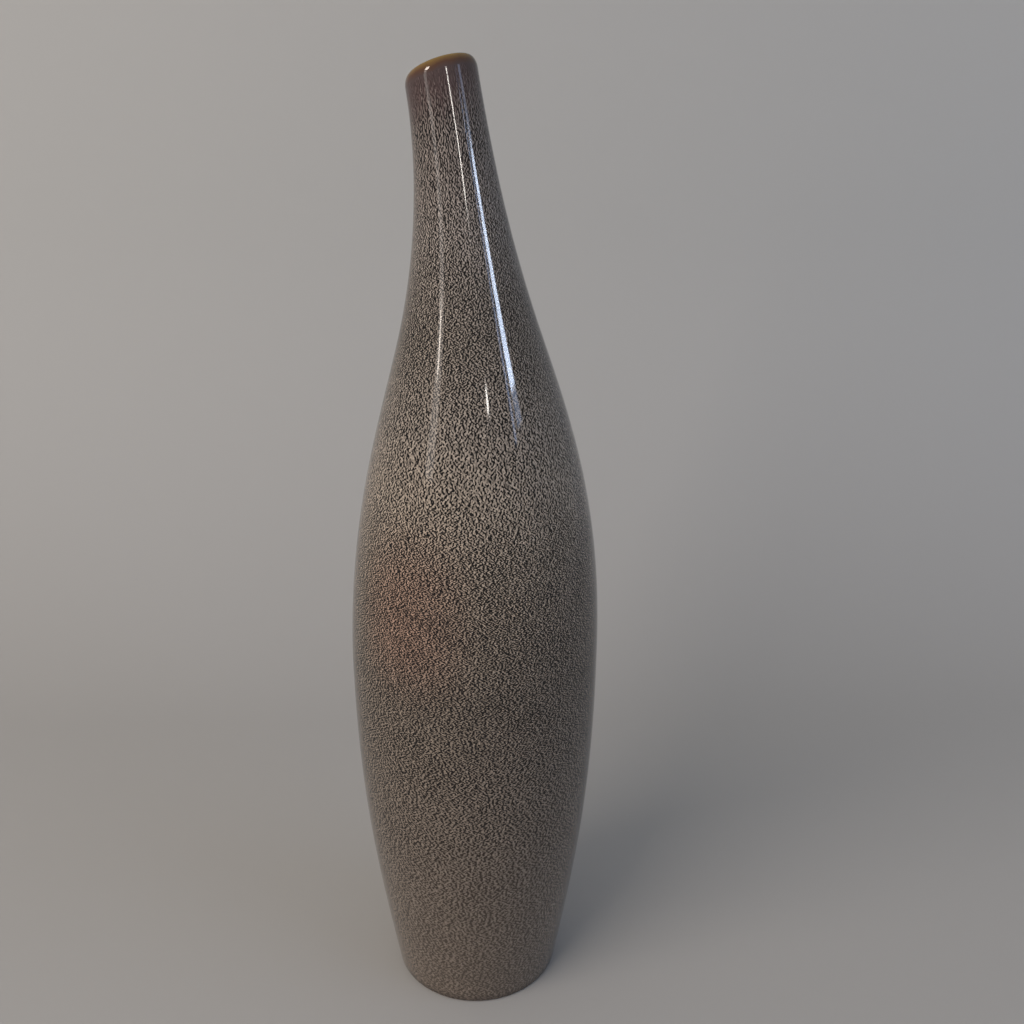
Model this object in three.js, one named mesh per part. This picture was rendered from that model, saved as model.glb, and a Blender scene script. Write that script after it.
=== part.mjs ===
// Leaning bud vase in glazed stoneware: a slip-cast clay body under three coats of glaze.
// Millimetres, +Z up. The origin is on the table under the middle of the foot, and the neck leans to -X.

import * as THREE from 'three';

// Glazed outline: radii, and rises measured along the centreline. Angles are in degrees from upright.
// A reach is how far the outline keeps its direction on leaving a point.
const footRadius = 37.4;
const footFlare = 9.4;
const footReach = 52;
const bellyRadius = 52.6;
const bellyHeight = 158;
const bellyReach = 66;
const shoulderRadius = 28.2;
const shoulderRise = 138.5;
const shoulderSlope = 17;
const shoulderReach = 37;
const mouthRadius = 13.8;
const neckRise = 97.7;
const neckReach = 27;

// Centreline above the belly: it sways a little to +X, then leans to -X. The mouth slants further still.
const swayReach = 30;
const mouthOffset = 14.2;
const mouthLean = 12;
const leanReach = 97;
const mouthSlant = 21.5;
const slantLength = 49;

// Clay
const wallThickness = 4;
const floorThickness = 5;
const floorFillet = 8;
const lipHeight = 4.5;
const footRing = 9;
const footBevel = 0.8;
const recessDepth = 2.5;

// Glaze: the thickness of each coat, its gap to the clay it lies on, and the height left bare at the foot
const glazeThickness = 0.6;
const glazeSeat = 0.1;
const bareFoot = 0.9;

// Facets: steps along each curve of the outline, over the lip, round the floor's fillet, and round the vase
const outlineSteps = 7;
const lipSteps = 8;
const filletSteps = 4;
const turnSteps = 36;

const { degToRad, smoothstep } = THREE.MathUtils;
const at = (radius, height) => new THREE.Vector2(radius, height);
const step = (point, angle, length) =>
  at(point.x + length * Math.sin(degToRad(angle)), point.y + length * Math.cos(degToRad(angle)));

// Centreline of the upper vase
const mouthHeight = bellyHeight + shoulderRise + neckRise;
const lean = degToRad(mouthLean);
const centreline = new THREE.CubicBezierCurve3(
  new THREE.Vector3(0, 0, bellyHeight),
  new THREE.Vector3(0, 0, bellyHeight + swayReach),
  new THREE.Vector3(leanReach * Math.sin(lean) - mouthOffset, 0, mouthHeight - leanReach * Math.cos(lean)),
  new THREE.Vector3(-mouthOffset, 0, mouthHeight),
);
const upperLength = centreline.getLength();
const crown = bellyHeight + upperLength;

// Depths of the clay's two faces below the glazed outside
const clayOutside = glazeThickness + glazeSeat;
const clayInside = clayOutside + wallThickness;
const linerBack = clayInside + glazeSeat;
const linerFace = linerBack + glazeThickness;

// Glazed outline, from the glaze's lower edge up to the lip
const foot = at(footRadius, bareFoot);
const belly = at(bellyRadius, bellyHeight);
const shoulder = at(shoulderRadius, bellyHeight + shoulderRise);
const mouth = at(mouthRadius, crown - lipHeight - glazeSeat);
const outline = [
  [foot, step(foot, footFlare, footReach), step(belly, 0, -bellyReach), belly],
  [belly, step(belly, 0, bellyReach), step(shoulder, -shoulderSlope, -shoulderReach), shoulder],
  [shoulder, step(shoulder, -shoulderSlope, shoulderReach), step(mouth, 0, -neckReach), mouth],
].map((points) => new THREE.CubicBezierCurve(...points));

// Stations up the outline. Every face of every coat uses the same ones, so that the coats lie parallel.
const stations = outline.flatMap((curve, i) => {
  const steps = Array.from({ length: outlineSteps + 1 }, (_, k) => k / outlineSteps);
  return steps.slice(i === 0 ? 0 : 1).map((t) => ({ point: curve.getPoint(t), along: curve.getTangent(t) }));
});
const setIn = ({ point, along }, depth) => at(point.x - along.y * depth, point.y + along.x * depth);

// Up the outside, at a depth below the glazed face
const upOutside = (depth) => stations.map((station) => setIn(station, depth));

// Over the lip from outside to inside, at a depth below the glazed face
const lipHalf = linerFace / 2;
function overLip(depth) {
  const oval = new THREE.EllipseCurve(
    mouthRadius - lipHalf, crown - lipHeight, lipHalf - depth, lipHeight - depth, 0, Math.PI);
  return oval.getPoints(lipSteps);
}

// Down the inside from the mouth to the middle of the floor, at a depth below the glazed face
function downInside(depth) {
  const clayFloor = recessDepth + floorThickness;
  const floor = clayFloor + depth - clayInside;
  const sides = stations.filter(({ point }) => point.y > clayFloor + floorFillet).reverse();
  const { along } = sides.at(-1);
  const low = setIn(sides.at(-1), depth);
  const corner = at(low.x - (low.y - floor) * along.x / along.y, floor);
  const fillet = new THREE.QuadraticBezierCurve(low, corner, at(corner.x - floorFillet, floor));
  const wall = sides.slice(0, -1).map((station) => setIn(station, depth));
  return [...wall, ...fillet.getPoints(filletSteps), at(0, floor)];
}

// Carries a straight solid onto the centreline, and tips its rings over to the slant of the mouth
function followCentreline(geometry) {
  const position = geometry.attributes.position;
  for (let i = 0; i < position.count; i++) {
    const height = position.getZ(i);
    if (height > bellyHeight) {
      const share = Math.min((height - bellyHeight) / upperLength, 1);
      const middle = centreline.getPointAt(share);
      const along = centreline.getTangentAt(share);
      const slant = degToRad(mouthSlant - mouthLean) * smoothstep(height, crown - slantLength, crown);
      const tip = Math.atan2(-along.x, along.z) + slant;
      const across = position.getX(i);
      position.setX(i, middle.x + across * Math.cos(tip));
      position.setZ(i, middle.z + across * Math.sin(tip));
    }
  }
  geometry.computeVertexNormals();
  return geometry;
}

const vase = new THREE.Group();
function addPiece(name, profile, color, roughness) {
  const turned = new THREE.LatheGeometry(profile, turnSteps).rotateX(Math.PI / 2);
  const material = new THREE.MeshStandardMaterial({ color, roughness, metalness: 0 });
  const mesh = new THREE.Mesh(followCentreline(turned), material);
  mesh.name = name;
  vase.add(mesh);
}

// Clay body. The underside is recessed inside a flat ring, and the recess flares at 45 degrees.
const clayFace = upOutside(clayOutside);
const ringOutside = clayFace[0].x - footBevel;
const ringInside = ringOutside - footRing;
const recessRadius = ringInside - recessDepth;
addPiece('clay_body', [
  at(0, recessDepth),
  at(recessRadius, recessDepth),
  at(ringInside, 0),
  at(ringOutside, 0),
  ...clayFace,
  ...overLip(clayOutside).slice(1, -1),
  ...downInside(clayInside),
], 0xc9b49a, 0.85);

// Speckled coat outside, from the bare foot up to the lip
addPiece('outer_glaze', [
  ...upOutside(0),
  ...upOutside(glazeThickness).reverse(),
  upOutside(0)[0],
], 0x6a6055, 0.2);

// Amber coat inside, which rolls over the lip and meets the speckled coat
addPiece('liner_glaze', [
  ...downInside(linerBack).reverse(),
  ...overLip(glazeThickness).slice(0, -1).reverse(),
  ...overLip(0).slice(0, -1),
  ...downInside(linerFace),
], 0x5f4432, 0.2);

// Coat in the recess under the foot
const baseFace = recessDepth - glazeSeat;
addPiece('base_glaze', [
  at(0, baseFace - glazeThickness),
  at(recessRadius + glazeThickness, baseFace - glazeThickness),
  at(recessRadius, baseFace),
  at(0, baseFace),
], 0x6a6055, 0.3);

export default vase;
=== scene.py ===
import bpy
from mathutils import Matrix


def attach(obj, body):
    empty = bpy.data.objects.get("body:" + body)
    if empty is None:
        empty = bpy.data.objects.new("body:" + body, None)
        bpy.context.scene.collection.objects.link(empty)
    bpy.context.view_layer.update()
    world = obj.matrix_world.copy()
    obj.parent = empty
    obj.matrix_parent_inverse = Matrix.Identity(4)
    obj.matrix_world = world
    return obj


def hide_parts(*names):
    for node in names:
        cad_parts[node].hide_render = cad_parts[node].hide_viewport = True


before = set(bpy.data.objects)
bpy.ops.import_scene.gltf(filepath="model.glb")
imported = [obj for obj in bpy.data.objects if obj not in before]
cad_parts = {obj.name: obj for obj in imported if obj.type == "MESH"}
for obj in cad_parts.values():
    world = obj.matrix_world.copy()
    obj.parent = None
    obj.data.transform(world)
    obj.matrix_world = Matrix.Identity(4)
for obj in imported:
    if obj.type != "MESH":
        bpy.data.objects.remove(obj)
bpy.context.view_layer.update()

import math
import bpy
import numpy as np
from mathutils import Matrix, Vector

mm = 0.001
metre = 1000  # in mm
onAxis = 1e-6  # a point nearer the axis than this, in mm, is on it


def hexColour(code):  # sRGB hex to the linear values that the nodes take
    parts = [int(code[i:i + 2], 16) / 255 for i in (0, 2, 4)]
    return [c / 12.92 if c <= 0.04045 else ((c + 0.055) / 1.055) ** 2.4 for c in parts] + [1.0]


def addNode(tree, kind, inputs=None, ramp=None, **settings):  # a node, set and linked; gives its outputs
    node = tree.nodes.new("ShaderNode" + kind)
    for key, value in settings.items():
        setattr(node, key, value)
    for key, value in (inputs or {}).items():
        if isinstance(value, bpy.types.NodeSocket):
            tree.links.new(value, node.inputs[key])
        else:
            node.inputs[key].default_value = value
    if ramp:
        stops = node.color_ramp.elements
        while len(stops) < len(ramp):
            stops.new(0.5)
        for stop, (place, code) in zip(stops, ramp):
            stop.position = place
            stop.color = hexColour(code)
    return node.outputs


def newMaterial(name):
    material = bpy.data.materials.new(name)
    material.use_nodes = True
    material.node_tree.nodes.clear()
    return material, material.node_tree


# The vase's form in mm and degrees: the glazed outline along the centreline, the sway and lean of the upper
# half, the clay and its coats, and the steps that the curves are drawn in
vase = {
    "footRadius": 37.4, "footFlare": 9.4, "footReach": 52,
    "bellyRadius": 52.58, "bellyHeight": 158, "bellyReach": 66,
    "shoulderRadius": 28.2, "shoulderRise": 138.5, "shoulderSlope": 17, "shoulderReach": 37,
    "mouthRadius": 13.8, "neckRise": 97.62, "neckReach": 27,
    "swayReach": 30, "mouthOffset": 14.2, "mouthLean": 12, "leanReach": 97,
    "mouthSlant": 21.5, "slantLength": 49,
    "lipHeight": 4.5, "wall": 4.0, "glaze": 0.6, "seat": 0.1,
    "floorTop": 7.5, "floorFillet": 8, "bareFoot": 0.9,
    "ringWidth": 9, "footBevel": 0.8, "recessDepth": 2.5,
    "lineSteps": 600, "outlineSteps": 36, "lipSteps": 24, "filletSteps": 12, "edgeSteps": 8, "turns": 192,
    "sharpAngle": 35,
}


def bezier(points, steps):
    t = np.linspace(0, 1, steps + 1)[:, None]
    a, b, c, d = (np.array(p, float) for p in points)
    at = (1 - t) ** 3 * a + 3 * t * (1 - t) ** 2 * b + 3 * t * t * (1 - t) * c + t ** 3 * d
    along = (1 - t) ** 2 * (b - a) + 2 * t * (1 - t) * (c - b) + t * t * (d - c)
    return at, along / np.linalg.norm(along, axis=1)[:, None]


def step(point, degrees, length):
    angle = math.radians(degrees)
    return (point[0] + length * math.sin(angle), point[1] + length * math.cos(angle))


# centreline of the upper vase: places, leans and lengths along it
belly = (vase["bellyRadius"], vase["bellyHeight"])
mouthMiddle = (-vase["mouthOffset"], belly[1] + vase["shoulderRise"] + vase["neckRise"])
linePlaces, lineAlong = bezier([
    (0, belly[1]), (0, belly[1] + vase["swayReach"]),
    step(mouthMiddle, -vase["mouthLean"], -vase["leanReach"]), mouthMiddle], vase["lineSteps"])
lineLeans = np.arctan2(-lineAlong[:, 0], lineAlong[:, 1])
lineGaps = np.linalg.norm(np.diff(linePlaces, axis=0), axis=1)
lineLengths = belly[1] + np.concatenate([[0], np.cumsum(lineGaps)])
crown = lineLengths[-1]

# stations up the glazed outline, from the glaze's lower edge to the lip
foot = (vase["footRadius"], vase["bareFoot"])
shoulder = (vase["shoulderRadius"], belly[1] + vase["shoulderRise"])
mouth = (vase["mouthRadius"], crown - vase["lipHeight"])
outlineCurves = [
    [foot, step(foot, vase["footFlare"], vase["footReach"]), step(belly, 0, -vase["bellyReach"]), belly],
    [belly, step(belly, 0, vase["bellyReach"]),
     step(shoulder, -vase["shoulderSlope"], -vase["shoulderReach"]), shoulder],
    [shoulder, step(shoulder, -vase["shoulderSlope"], vase["shoulderReach"]),
     step(mouth, 0, -vase["neckReach"]), mouth],
]
sampled = [bezier(curve, vase["outlineSteps"]) for curve in outlineCurves]
stationAt = np.concatenate([at if i == 0 else at[1:] for i, (at, _) in enumerate(sampled)])
stationAlong = np.concatenate([along if i == 0 else along[1:] for i, (_, along) in enumerate(sampled)])

# depths of the clay's faces and of the liner's below the glazed outside
clayOutside = vase["glaze"] + vase["seat"]
clayInside = clayOutside + vase["wall"]
linerBack = clayInside + vase["seat"]
linerFace = linerBack + vase["glaze"]


def upOutside(depth):
    return stationAt + depth * np.stack([-stationAlong[:, 1], stationAlong[:, 0]], 1)


def overLip(depth):
    half = linerFace / 2
    turn = np.linspace(0, math.pi, vase["lipSteps"] + 1)
    return np.stack([vase["mouthRadius"] - half + (half - depth) * np.cos(turn),
                     mouth[1] + (vase["lipHeight"] - depth) * np.sin(turn)], 1)


def downInside(depth):
    floorLevel = vase["floorTop"] + depth - clayInside
    sides = np.nonzero(stationAt[:, 1] > vase["floorTop"] + vase["floorFillet"])[0]
    low, along = upOutside(depth)[sides[0]], stationAlong[sides[0]]
    corner = np.array([low[0] - (low[1] - floorLevel) * along[0] / along[1], floorLevel])
    end = corner - [vase["floorFillet"], 0]
    t = np.linspace(0, 1, vase["filletSteps"] + 1)[:, None]
    fillet = (1 - t) ** 2 * low + 2 * t * (1 - t) * corner + t * t * end
    return np.concatenate([upOutside(depth)[sides[1:]][::-1], fillet, [[0, floorLevel]]])


def eased(height, start, end):
    share = np.clip((height - start) / (end - start), 0, 1)
    return share * share * (3 - 2 * share)


def leanOver(straight):  # carries an upright form onto the centreline, and tips it to the mouth's slant
    across, deep, height = straight.T
    upper = height > belly[1]
    middleX = np.where(upper, np.interp(height, lineLengths, linePlaces[:, 0]), 0)
    middleZ = np.where(upper, np.interp(height, lineLengths, linePlaces[:, 1]), height)
    slant = math.radians(vase["mouthSlant"] - vase["mouthLean"])
    lean = np.where(upper, np.interp(height, lineLengths, lineLeans), 0)
    lean = lean + slant * eased(height, crown - vase["slantLength"], crown)
    return np.stack([middleX + across * np.cos(lean), deep, middleZ + across * np.sin(lean)], 1)


# How the glaze ran, at heights in mm along the centreline: how fine its pattern is round the vase and upright,
# how thin the pale coat is, and how mottled. The coat thins and thickens again this far apart, in mm.
glazeRun = {
    "heights": (40, 100, 158, 195, 222, 245, 262, 300, 320, 345, 375),
    "fine": (0.6, 0.68, 0.8, 0.88, 0.92, 0.93, 0.94, 1.06, 1.2, 1.32, 1.38),
    "upright": (0.57, 0.73, 1.05, 1.3, 1.05, 0.55, 0.53, 1.08, 0.85, 0.68, 0.44),
    "thin": (0.17, 0.185, 0.22, 0.242, 0.225, 0.165, 0.162, 0.24, 0.22, 0.205, 0.22),
    "mottle": (0.5, 0.55, 0.75, 0.9, 0.85, 0.75, 0.75, 0.75, 0.75, 0.75, 0.4),
    "apart": 0.68,
}


def keepGlazePlaces(mesh, straight):  # each point's place in the glaze, from its place before it leaned
    height = straight[:, 2]
    fine, thin, mottle = (np.interp(height, glazeRun["heights"], glazeRun[key])
                          for key in ("fine", "thin", "mottle"))
    levels = np.arange(crown + 2)
    climb = np.cumsum(np.interp(levels - 0.5, glazeRun["heights"], glazeRun["upright"]))
    flow = straight * mm
    flow[:, :2] *= fine[:, None]
    flow[:, 2] = np.interp(height, levels, climb) * mm
    around = np.stack([-straight[:, 1], straight[:, 0], np.zeros(len(straight))], 1)
    around /= np.maximum(np.linalg.norm(around, axis=1), onAxis)[:, None]
    beside = flow + around * glazeRun["apart"] * mm
    for name, places in (("flow", flow), ("beside", beside)):
        mesh.attributes.new(name, "FLOAT_VECTOR", "POINT").data.foreach_set("vector", places.ravel())
    girth = np.hypot(straight[:, 0], straight[:, 1]) * mm
    amounts = {"thin": thin, "mottle": mottle, "rise": height * mm, "girth": girth}
    for name, amount in amounts.items():
        mesh.attributes.new(name, "FLOAT", "POINT").data.foreach_set("value", amount)


def turnPiece(name, profile, closed=False):  # turns a profile about Z and leans it over
    turns = vase["turns"]
    angle = np.arange(turns) * 2 * math.pi / turns
    across, deep = np.cos(angle), np.sin(angle)
    rings, straight, count = [], [], 0
    for radius, height in profile:
        if radius < onAxis:
            straight.append([[0, 0, height]])
            rings.append([count] * turns)
            count += 1
        else:
            straight.append(np.stack([radius * across, radius * deep, np.full(turns, height)], 1))
            rings.append(list(range(count, count + turns)))
            count += turns
    straight = np.concatenate(straight)
    faces = []
    pairs = list(zip(rings, rings[1:])) + ([(rings[-1], rings[0])] if closed else [])
    for low, high in pairs:
        for k in range(turns):
            n = (k + 1) % turns
            corners = [low[k], low[n], high[n], high[k]]
            corners = [c for i, c in enumerate(corners) if c not in corners[:i]]
            if len(corners) > 2:
                faces.append(corners)
    mesh = bpy.data.meshes.new(name)
    mesh.from_pydata((leanOver(straight) * mm).tolist(), [], faces)
    keepGlazePlaces(mesh, straight)
    mesh.shade_smooth()
    mesh.set_sharp_from_angle(angle=math.radians(vase["sharpAngle"]))
    piece = bpy.data.objects.new(name, mesh)
    bpy.context.collection.objects.link(piece)
    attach(piece, "root")
    return piece


# Speckled coat: outside face, inside face, rounded lower edge
coatOutside = upOutside(0)
coatInside = upOutside(vase["glaze"])
edgeMiddle = (coatOutside[0] + coatInside[0]) / 2
edgeAcross = (coatOutside[0] - coatInside[0]) / 2
edgeDown = np.array([edgeAcross[1], -edgeAcross[0]])
edgeTurn = np.linspace(math.pi, 0, vase["edgeSteps"] + 1)[1:-1]
lowerEdge = [edgeMiddle + edgeAcross * math.cos(a) + edgeDown * math.sin(a) for a in edgeTurn]
speckledCoat = turnPiece("speckled_coat", [*coatOutside, *coatInside[::-1], *lowerEdge], closed=True)
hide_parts("outer_glaze")

# Amber coat inside, rolled over the lip
amberLiner = turnPiece("amber_liner", [
    *downInside(linerBack)[::-1], *overLip(vase["glaze"])[:-1][::-1],
    *overLip(0)[:-1], *downInside(linerFace)])
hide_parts("liner_glaze")

# Clay body with its dry foot ring
clayFace = upOutside(clayOutside)
ringOutside = clayFace[0][0] - vase["footBevel"]
ringInside = ringOutside - vase["ringWidth"]
recessRadius = ringInside - vase["recessDepth"]
bodyClay = turnPiece("stoneware_body", [
    (0, vase["recessDepth"]), (recessRadius, vase["recessDepth"]), (ringInside, 0), (ringOutside, 0),
    *clayFace, *overLip(clayOutside)[1:-1], *downInside(clayInside)])
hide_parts("clay_body")

# Thin coat in the recess
recessFace = vase["recessDepth"] - vase["seat"]
recessCoat = turnPiece("recess_coat", [
    (0, recessFace - vase["glaze"]), (recessRadius + vase["glaze"], recessFace - vase["glaze"]),
    (recessRadius, recessFace), (0, recessFace)])
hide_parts("base_glaze")
print("pieces turned:", [piece.name for piece in (speckledCoat, amberLiner, bodyClay, recessCoat)])


# Reactive stoneware glaze, sprayed over an iron-brown coat and melted in the kiln. The pale coat crawls into
# a net and the brown shows through it as specks; where it runs thin, near the lip, it goes to purple-brown.
speckledGlaze = {
    "speck": 0.5, "mottle": 0.55, "cloud": 14.0, "run": 1.3, "peel": 4.0,  # sizes in mm
    "evenness": 0.6, "speckEdge": 0.03, "cloudDepth": 0.1,
    "mottleSpan": (0.26, 0.74), "mottleDepth": (0.3, 1.7),
    "runSpan": (0.25, 0.75), "runStretch": 0.12,
    "runShift": 5, "runFrom": 55, "runFull": 18,  # mm: how far runs go, and how far under the lip they begin
    "relief": 0.0005, "peelDepth": 1.5, "roughness": 0.06, "ior": 1.5,  # relief in mm
    # tones from foot to lip, by share of the height
    "netTones": [(0.0, "4a3e35"), (0.012, "7a6e63"), (0.2, "7d7268"), (0.42, "897d71"), (0.52, "9f9182"),
                 (0.62, "9e9285"), (0.68, "948a80"), (0.76, "8f857b"), (0.85, "978e87"), (0.945, "887e78"),
                 (0.977, "5c4c4b"), (0.988, "4f4140")],
    "speckTones": [(0.0, "362c25"), (0.012, "544a41"), (0.2, "362d26"), (0.3, "140e0a"), (0.42, "060302"),
                   (0.62, "070302"), (0.945, "0a0505"), (0.977, "443534"), (0.988, "4f4140")],
    # painted reflection of something warm on one side of the belly: its tones, the way it faces, and the mm
    # that way and up the vase over which it comes and goes
    "reflectionNet": "a47d6b", "reflectionSpeck": "160703", "reflectionFrom": (0.1, -0.99, 0.0),
    "reflectionSide": (36, 52), "reflectionStart": (150, 185), "reflectionEnd": (245, 205),
}


def makeSpeckledGlaze(glaze):  # a Mix node takes its factor at 0, numbers at 2 and 3, colours at 6 and 7
    material, tree = newMaterial("reactive_stoneware_glaze")
    flow = addNode(tree, "Attribute", attribute_name="flow")["Vector"]
    rise = addNode(tree, "Attribute", attribute_name="rise")["Fac"]
    # runs: upright streaks that set how far below the lip the net begins
    runPlace = addNode(tree, "VectorMath", {0: flow, 1: (1.0, 1.0, glaze["runStretch"])},
                       operation="MULTIPLY")[0]
    run = addNode(tree, "TexNoise", {
        "Vector": runPlace, "Scale": metre / glaze["run"], "Detail": 2.0})["Fac"]
    runShift = addNode(tree, "MapRange", {
        "Value": run, "From Min": glaze["runSpan"][0], "From Max": glaze["runSpan"][1],
        "To Min": -glaze["runShift"] * mm, "To Max": glaze["runShift"] * mm})[0]
    nearLip = addNode(tree, "MapRange", {
        "Value": rise, "From Min": (crown - glaze["runFrom"]) * mm,
        "From Max": (crown - glaze["runFull"]) * mm})[0]
    streaked = addNode(tree, "Math", {0: runShift, 1: nearLip, 2: rise}, operation="MULTIPLY_ADD")[0]
    share = addNode(tree, "Math", {0: streaked, 1: crown * mm}, operation="DIVIDE")[0]
    # specks: where the pale coat is thinner than it is a little way round the vase
    beside = addNode(tree, "Attribute", attribute_name="beside")["Vector"]
    here, there = (
        addNode(tree, "TexNoise", {"Vector": place, "Scale": metre / glaze["speck"], "Detail": 0.0})["Fac"]
        for place in (flow, beside))
    speck = addNode(tree, "Math", {0: there, 1: -glaze["evenness"], 2: here}, operation="MULTIPLY_ADD")[0]
    thin = addNode(tree, "Attribute", attribute_name="thin")["Fac"]
    cloud = addNode(tree, "TexNoise", {
        "Vector": flow, "Scale": metre / glaze["cloud"], "Detail": 3.0})["Fac"]
    patchy = addNode(tree, "Math", {0: cloud, 1: glaze["cloudDepth"], 2: -glaze["cloudDepth"] / 2},
                     operation="MULTIPLY_ADD")[0]
    reach = addNode(tree, "Math", {0: thin, 1: patchy}, operation="ADD")[0]
    low = addNode(tree, "Math", {0: reach, 1: glaze["speckEdge"]}, operation="SUBTRACT")[0]
    high = addNode(tree, "Math", {0: reach, 1: glaze["speckEdge"]}, operation="ADD")[0]
    net = addNode(tree, "MapRange", {"Value": speck, "From Min": low, "From Max": high},
                  interpolation_type="SMOOTHSTEP")[0]
    netTone = addNode(tree, "ValToRGB", {"Fac": share}, ramp=glaze["netTones"])["Color"]
    speckTone = addNode(tree, "ValToRGB", {"Fac": share}, ramp=glaze["speckTones"])["Color"]
    # painted reflection: a warm reflection painted into the colour of one side of the belly
    toward = addNode(tree, "VectorMath", {0: flow, 1: glaze["reflectionFrom"]}, operation="DOT_PRODUCT")["Value"]
    facing, above, below = (
        addNode(tree, "MapRange", {"Value": value, "From Min": start * mm, "From Max": full * mm},
                interpolation_type="SMOOTHSTEP")[0]
        for value, (start, full) in ((toward, glaze["reflectionSide"]), (rise, glaze["reflectionStart"]),
                                     (rise, glaze["reflectionEnd"])))
    band = addNode(tree, "Math", {0: above, 1: below}, operation="MULTIPLY")[0]
    paintedReflection = addNode(tree, "Math", {0: band, 1: facing}, operation="MULTIPLY")[0]
    netReflected, speckReflected = (
        addNode(tree, "Mix", {0: paintedReflection, 6: tone, 7: hexColour(warm)}, data_type="RGBA")[2]
        for tone, warm in ((netTone, glaze["reflectionNet"]), (speckTone, glaze["reflectionSpeck"])))
    # net is mottled too, less so toward the lip and the foot
    mottled = addNode(tree, "Attribute", attribute_name="mottle")["Fac"]
    mottle = addNode(tree, "TexNoise", {
        "Vector": beside, "Scale": metre / glaze["mottle"], "Detail": 0.0})["Fac"]
    uneven = addNode(tree, "MapRange", {
        "Value": mottle, "From Min": glaze["mottleSpan"][0], "From Max": glaze["mottleSpan"][1],
        "To Min": glaze["mottleDepth"][0], "To Max": glaze["mottleDepth"][1]})[0]
    calmer = addNode(tree, "Mix", {0: mottled, 2: 1.0, 3: uneven})[0]
    netMottled = addNode(tree, "VectorMath", {0: netReflected, "Scale": calmer}, operation="SCALE")[0]
    colour = addNode(tree, "Mix", {0: net, 6: speckReflected, 7: netMottled}, data_type="RGBA")[2]
    # net stands a hair above the specks, and the whole coat has a faint orange peel
    peel = addNode(tree, "TexNoise", {"Vector": flow, "Scale": metre / glaze["peel"], "Detail": 1.0})["Fac"]
    relief = addNode(tree, "Math", {0: peel, 1: glaze["peelDepth"], 2: net}, operation="MULTIPLY_ADD")[0]
    bump = addNode(tree, "Bump", {"Height": relief, "Distance": glaze["relief"] * mm})["Normal"]
    shader = addNode(tree, "BsdfPrincipled", {
        "Base Color": colour, "Roughness": glaze["roughness"], "IOR": glaze["ior"], "Normal": bump})["BSDF"]
    addNode(tree, "OutputMaterial", {"Surface": shader})
    return material


speckledCoat.data.materials.append(makeSpeckledGlaze(speckledGlaze))


# Amber liner glaze, poured in and drained: glossy and even. It is amber on the crown of the lip, where it
# is thinnest, brown inside, and purple-brown outside, where it melts into the speckled coat. Sizes in mm.
amberGlaze = {
    "cloud": 7.0, "peel": 4.0, "relief": 0.004, "roughness": 0.07, "ior": 1.5, "patchDepth": 0.5,
    "insideTones": [(0.3, "38271b"), (0.7, "4e3624")],
    "lipTones": [(0.0, "4f4140"), (0.4, "553a2b"), (0.8, "755a30"), (1.0, "866e38")],
}


def makeAmberGlaze(glaze):
    material, tree = newMaterial("amber_liner_glaze")
    flow = addNode(tree, "Attribute", attribute_name="flow")["Vector"]
    rise = addNode(tree, "Attribute", attribute_name="rise")["Fac"]
    girth = addNode(tree, "Attribute", attribute_name="girth")["Fac"]
    cloud = addNode(tree, "TexNoise", {
        "Vector": flow, "Scale": metre / glaze["cloud"], "Detail": 3.0})["Fac"]
    inside = addNode(tree, "ValToRGB", {"Fac": cloud}, ramp=glaze["insideTones"])["Color"]
    # up the lip the tones change a little unevenly
    upLip = addNode(tree, "MapRange", {"Value": rise, "From Min": mouth[1] * mm, "From Max": crown * mm})[0]
    patchy = addNode(tree, "Math", {0: cloud, 1: glaze["patchDepth"], 2: -glaze["patchDepth"] / 2},
                     operation="MULTIPLY_ADD")[0]
    upPatchy = addNode(tree, "Math", {0: upLip, 1: patchy}, operation="ADD")[0]
    lip = addNode(tree, "ValToRGB", {"Fac": upPatchy}, ramp=glaze["lipTones"])["Color"]
    # from the crown of the lip inward they give way to the brown
    outward = addNode(tree, "MapRange", {
        "Value": girth, "From Min": (vase["mouthRadius"] - linerFace) * mm,
        "From Max": (vase["mouthRadius"] - linerFace / 2) * mm})[0]
    tone = addNode(tree, "Mix", {0: outward, 6: inside, 7: lip}, data_type="RGBA")[2]
    peel = addNode(tree, "TexNoise", {"Vector": flow, "Scale": metre / glaze["peel"], "Detail": 1.0})["Fac"]
    bump = addNode(tree, "Bump", {"Height": peel, "Distance": glaze["relief"] * mm})["Normal"]
    shader = addNode(tree, "BsdfPrincipled", {
        "Base Color": tone, "Roughness": glaze["roughness"], "IOR": glaze["ior"], "Normal": bump})["BSDF"]
    addNode(tree, "OutputMaterial", {"Surface": shader})
    return material


amberLiner.data.materials.append(makeAmberGlaze(amberGlaze))

# Unglazed stoneware, slip-cast and sponged: dry, pinkish buff, with fine darker grains. Sizes in mm.
bareStoneware = {"grain": 0.9, "relief": 0.03, "roughness": 0.86, "ior": 1.5,
                 "tones": [(0.25, "ad9483"), (0.55, "c4ac98"), (0.8, "d2bca8")]}

# Thin brown glaze wiped into the recess: semi-gloss, patchy. Sizes in mm.
recessGlaze = {"grain": 5.0, "relief": 0.01, "roughness": 0.35, "ior": 1.52,
               "tones": [(0.3, "54463b"), (0.7, "6f6053")]}


def makePlain(name, finish):
    material, tree = newMaterial(name)
    place = addNode(tree, "TexCoord")["Object"]
    grain = addNode(tree, "TexNoise", {
        "Vector": place, "Scale": metre / finish["grain"], "Detail": 4.0})["Fac"]
    tone = addNode(tree, "ValToRGB", {"Fac": grain}, ramp=finish["tones"])["Color"]
    bump = addNode(tree, "Bump", {"Height": grain, "Distance": finish["relief"] * mm})["Normal"]
    shader = addNode(tree, "BsdfPrincipled", {
        "Base Color": tone, "Roughness": finish["roughness"], "IOR": finish["ior"], "Normal": bump})["BSDF"]
    addNode(tree, "OutputMaterial", {"Surface": shader})
    return material


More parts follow.
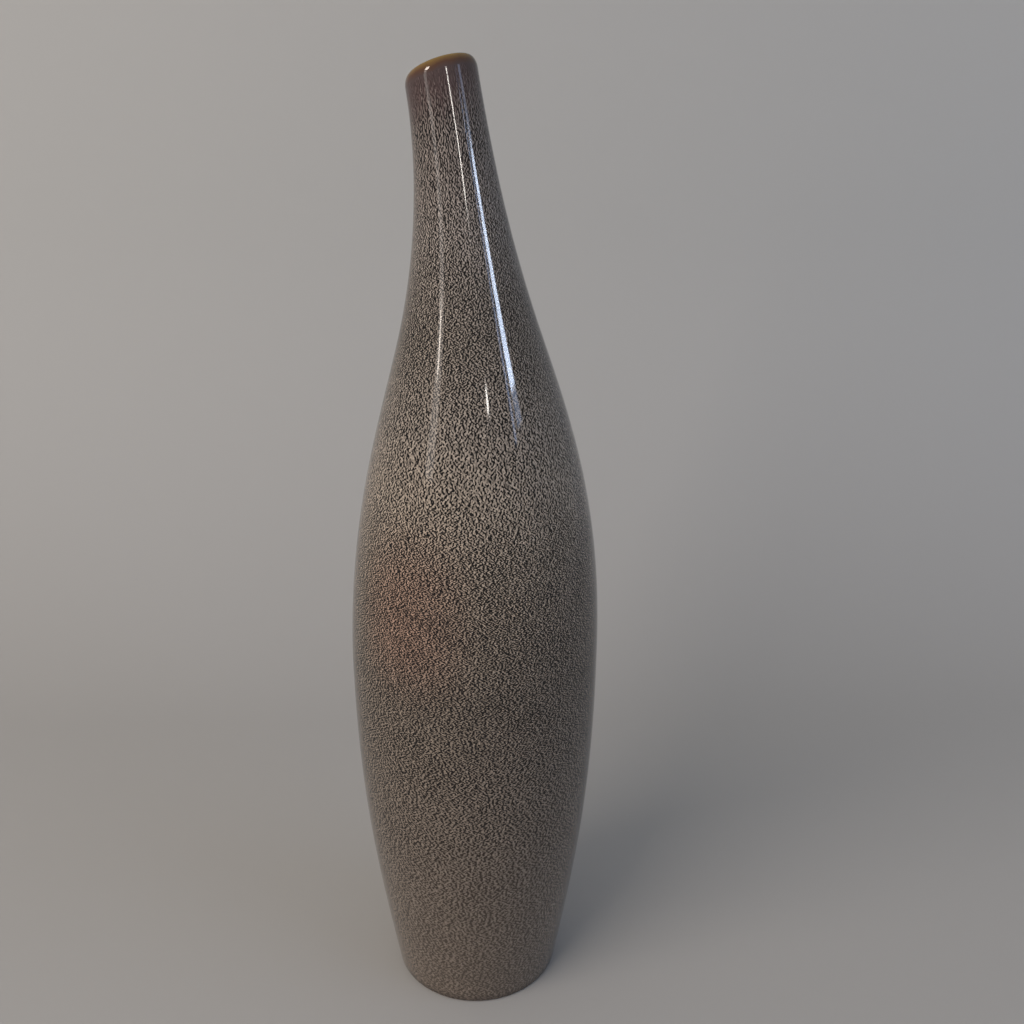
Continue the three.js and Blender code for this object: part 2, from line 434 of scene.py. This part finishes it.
bodyClay.data.materials.append(makePlain("bare_cast_stoneware", bareStoneware))
recessCoat.data.materials.append(makePlain("thin_recess_glaze", recessGlaze))
print("finishes made")

# Camera: about a vase height away and just below the rim, in mm and degrees
view = {"azimuth": 37.65, "distance": 409.2, "height": 379.2, "turn": 2.19, "tilt": 20.76, "roll": 0.31,
        "lens": 37.27, "sensor": 36, "nearest": 10}
side = math.radians(view["azimuth"])
cameraData = bpy.data.cameras.new("camera")
cameraData.lens = view["lens"]
cameraData.sensor_width = view["sensor"]
cameraData.clip_start = view["nearest"] * mm
camera = bpy.data.objects.new("camera", cameraData)
bpy.context.collection.objects.link(camera)
cameraPlace = Vector((view["distance"] * math.sin(side), -view["distance"] * math.cos(side), view["height"]))
camera.matrix_world = (
    Matrix.Translation(cameraPlace * mm)
    @ Matrix.Rotation(math.radians(view["azimuth"] - view["turn"]), 4, "Z")
    @ Matrix.Rotation(math.radians(90 - view["tilt"]), 4, "X")
    @ Matrix.Rotation(math.radians(view["roll"]), 4, "Z"))
bpy.context.scene.camera = camera

# Floor and wall in one sweep of matt paint, turned to face the camera, in m
sweep = {"front": 4.0, "back": 0.2, "bend": 0.3, "bendSteps": 24, "top": 3.0, "half": 5.0,
         "floorTone": "adacaa", "wallTone": "bfbfbc", "roughness": 0.9}

# Plain pale backdrop that the sweep gives way to, between these distances in m from the vase
backdrop = {"tone": "f2eeea", "strength": 0.41, "from": 0.7, "to": 1.2}


def seenRays(tree):  # the rays that show the backdrop: the camera's, and those mirrored or let through
    path = addNode(tree, "LightPath")
    seen = path["Is Camera Ray"]
    for kind in ("Is Glossy Ray", "Is Transmission Ray"):
        seen = addNode(tree, "Math", {0: seen, 1: path[kind]}, operation="MAXIMUM")[0]
    return seen


bend = [(sweep["back"] + sweep["bend"] * math.sin(a), sweep["bend"] * (1 - math.cos(a)))
        for a in np.linspace(0, math.pi / 2, sweep["bendSteps"] + 1)]
sweepLine = [(-sweep["front"], 0.0), *bend, (sweep["back"] + sweep["bend"], sweep["top"])]
sweepMesh = bpy.data.meshes.new("floor_sweep")
sweepMesh.from_pydata([(x, y, z) for y, z in sweepLine for x in (-sweep["half"], sweep["half"])], [],
                      [(2 * i, 2 * i + 1, 2 * i + 3, 2 * i + 2) for i in range(len(sweepLine) - 1)])
sweepMesh.shade_smooth()
floor = bpy.data.objects.new("floor_sweep", sweepMesh)
floor.rotation_euler[2] = side
bpy.context.collection.objects.link(floor)
paint, paintTree = newMaterial("matt_studio_paint")
paintPlace = addNode(paintTree, "TexCoord")["Object"]
paintHeight = addNode(paintTree, "SeparateXYZ", {"Vector": paintPlace})["Z"]
paintTone = addNode(paintTree, "ValToRGB", {"Fac": paintHeight},
                    ramp=[(0.0, sweep["floorTone"]), (sweep["bend"], sweep["wallTone"])])["Color"]
paintMatt = addNode(paintTree, "BsdfPrincipled", {
    "Base Color": paintTone, "Roughness": sweep["roughness"]})["BSDF"]
# far from the vase the sweep shows as the backdrop, so that no edge of it and no lamp's edge is in view
away = addNode(paintTree, "VectorMath", {0: paintPlace}, operation="LENGTH")["Value"]
far = addNode(paintTree, "MapRange", {
    "Value": away, "From Min": backdrop["from"], "From Max": backdrop["to"]},
    interpolation_type="SMOOTHSTEP")[0]
farSeen = addNode(paintTree, "Math", {0: far, 1: seenRays(paintTree)}, operation="MULTIPLY")[0]
farGlow = addNode(paintTree, "Emission", {
    "Color": hexColour(backdrop["tone"]), "Strength": backdrop["strength"]})["Emission"]
paintMix = addNode(paintTree, "MixShader", {0: farSeen, 1: paintMatt, 2: farGlow})[0]
addNode(paintTree, "OutputMaterial", {"Surface": paintMix})
sweepMesh.materials.append(paint)

# Lamps, all aimed at the neck: azimuth from the camera's side, plus to the right, and rise, in degrees;
# distance, width and height in m; power in W; colour. Boxes give the light, and the rest are only mirrored.
boxLamps = {
    "softbox": (-48, 26, 1.6, 1.2, 1.2, 20.0, "fff3e8"),
    "fillBox": (65, 15, 1.6, 1.2, 1.2, 5.5, "c8ddff"),
}
mirroredLamps = {
    "sideLamp": (-51, 19.4, 1.6, 0.05, 0.09, 0.26, "fff1e4"),
    "sideStrip": (-51, 32, 1.6, 0.3, 0.35, 7.0, "fff1e4"),
    "lampShade": (-50, 13.5, 1.61, 0.26, 0.5, 0.8, "fff6ee"),
    "window": (58, 20.6, 1.2, 0.15, 0.103, 1.05, "d4e4ff"),
    "sill": (58, 15.6, 1.2, 0.15, 0.105, 0.17, "c4d8ff"),
    "curtain": (49.5, 18, 1.2, 0.05, 0.28, 0.2, "b8d0ff"),
    "pane": (62, 24.2, 1.2, 0.15, 0.05, 0.06, "c4d8ff"),
    "ceiling": (19, 21.1, 2.4, 0.08, 0.126, 0.95, "fff8f0"),
}
neck = Vector((-0.002, -0.012, 0.31))
for name, (azimuth, rise, distance, width, tall, power, colour) in {**boxLamps, **mirroredLamps}.items():
    turn = math.radians(view["azimuth"] - 90 + azimuth)
    tilt = math.radians(rise)
    toLamp = Vector((math.cos(turn) * math.cos(tilt), math.sin(turn) * math.cos(tilt), math.sin(tilt)))
    data = bpy.data.lights.new(name, "AREA")
    data.shape = "RECTANGLE"
    data.size, data.size_y = width, tall
    data.energy = power
    data.color = hexColour(colour)[:3]
    light = bpy.data.objects.new(name, data)
    light.location = neck + toLamp * distance
    light.rotation_euler = toLamp.to_track_quat("Z", "Y").to_euler()
    light.visible_diffuse = name in boxLamps
    light.visible_glossy = name in mirroredLamps
    bpy.context.collection.objects.link(light)

# Soft light from the room: warm white from above and a little from the left, dim and blue from low down
roomLight = {"left": 0.3, "up": 0.95, "dimTo": 0.2, "brightFrom": 0.9, "dim": 0.14, "bright": 0.6,
             "dimTone": "b8cdf2", "brightTone": "f6f2ec"}
room = bpy.data.worlds.new("room")
room.use_nodes = True
roomTree = room.node_tree
roomTree.nodes.clear()
toLeft = Vector((-math.cos(side), -math.sin(side), 0))
brightWay = toLeft * roomLight["left"] + Vector((0, 0, roomLight["up"]))
roomWay = addNode(roomTree, "TexCoord")["Generated"]
along = addNode(roomTree, "VectorMath", {0: roomWay, 1: brightWay}, operation="DOT_PRODUCT")["Value"]
share = addNode(roomTree, "MapRange", {
    "Value": along, "From Min": roomLight["dimTo"], "From Max": roomLight["brightFrom"]},
    interpolation_type="SMOOTHSTEP")[0]
tint = addNode(roomTree, "ValToRGB", {"Fac": share},
               ramp=[(0.0, roomLight["dimTone"]), (1.0, roomLight["brightTone"])])["Color"]
glow = addNode(roomTree, "MapRange", {
    "Value": share, "To Min": roomLight["dim"], "To Max": roomLight["bright"]})[0]
sky = addNode(roomTree, "Background", {"Color": tint, "Strength": glow})["Background"]
# the same backdrop all round, for the camera and for reflections
plain = addNode(roomTree, "Background", {
    "Color": hexColour(backdrop["tone"]), "Strength": backdrop["strength"]})["Background"]
roomMix = addNode(roomTree, "MixShader", {0: seenRays(roomTree), 1: sky, 2: plain})[0]
addNode(roomTree, "OutputWorld", {"Surface": roomMix})
bpy.context.scene.world = room
bpy.context.scene.view_settings.view_transform = "Standard"
print("camera, floor and lamps placed")
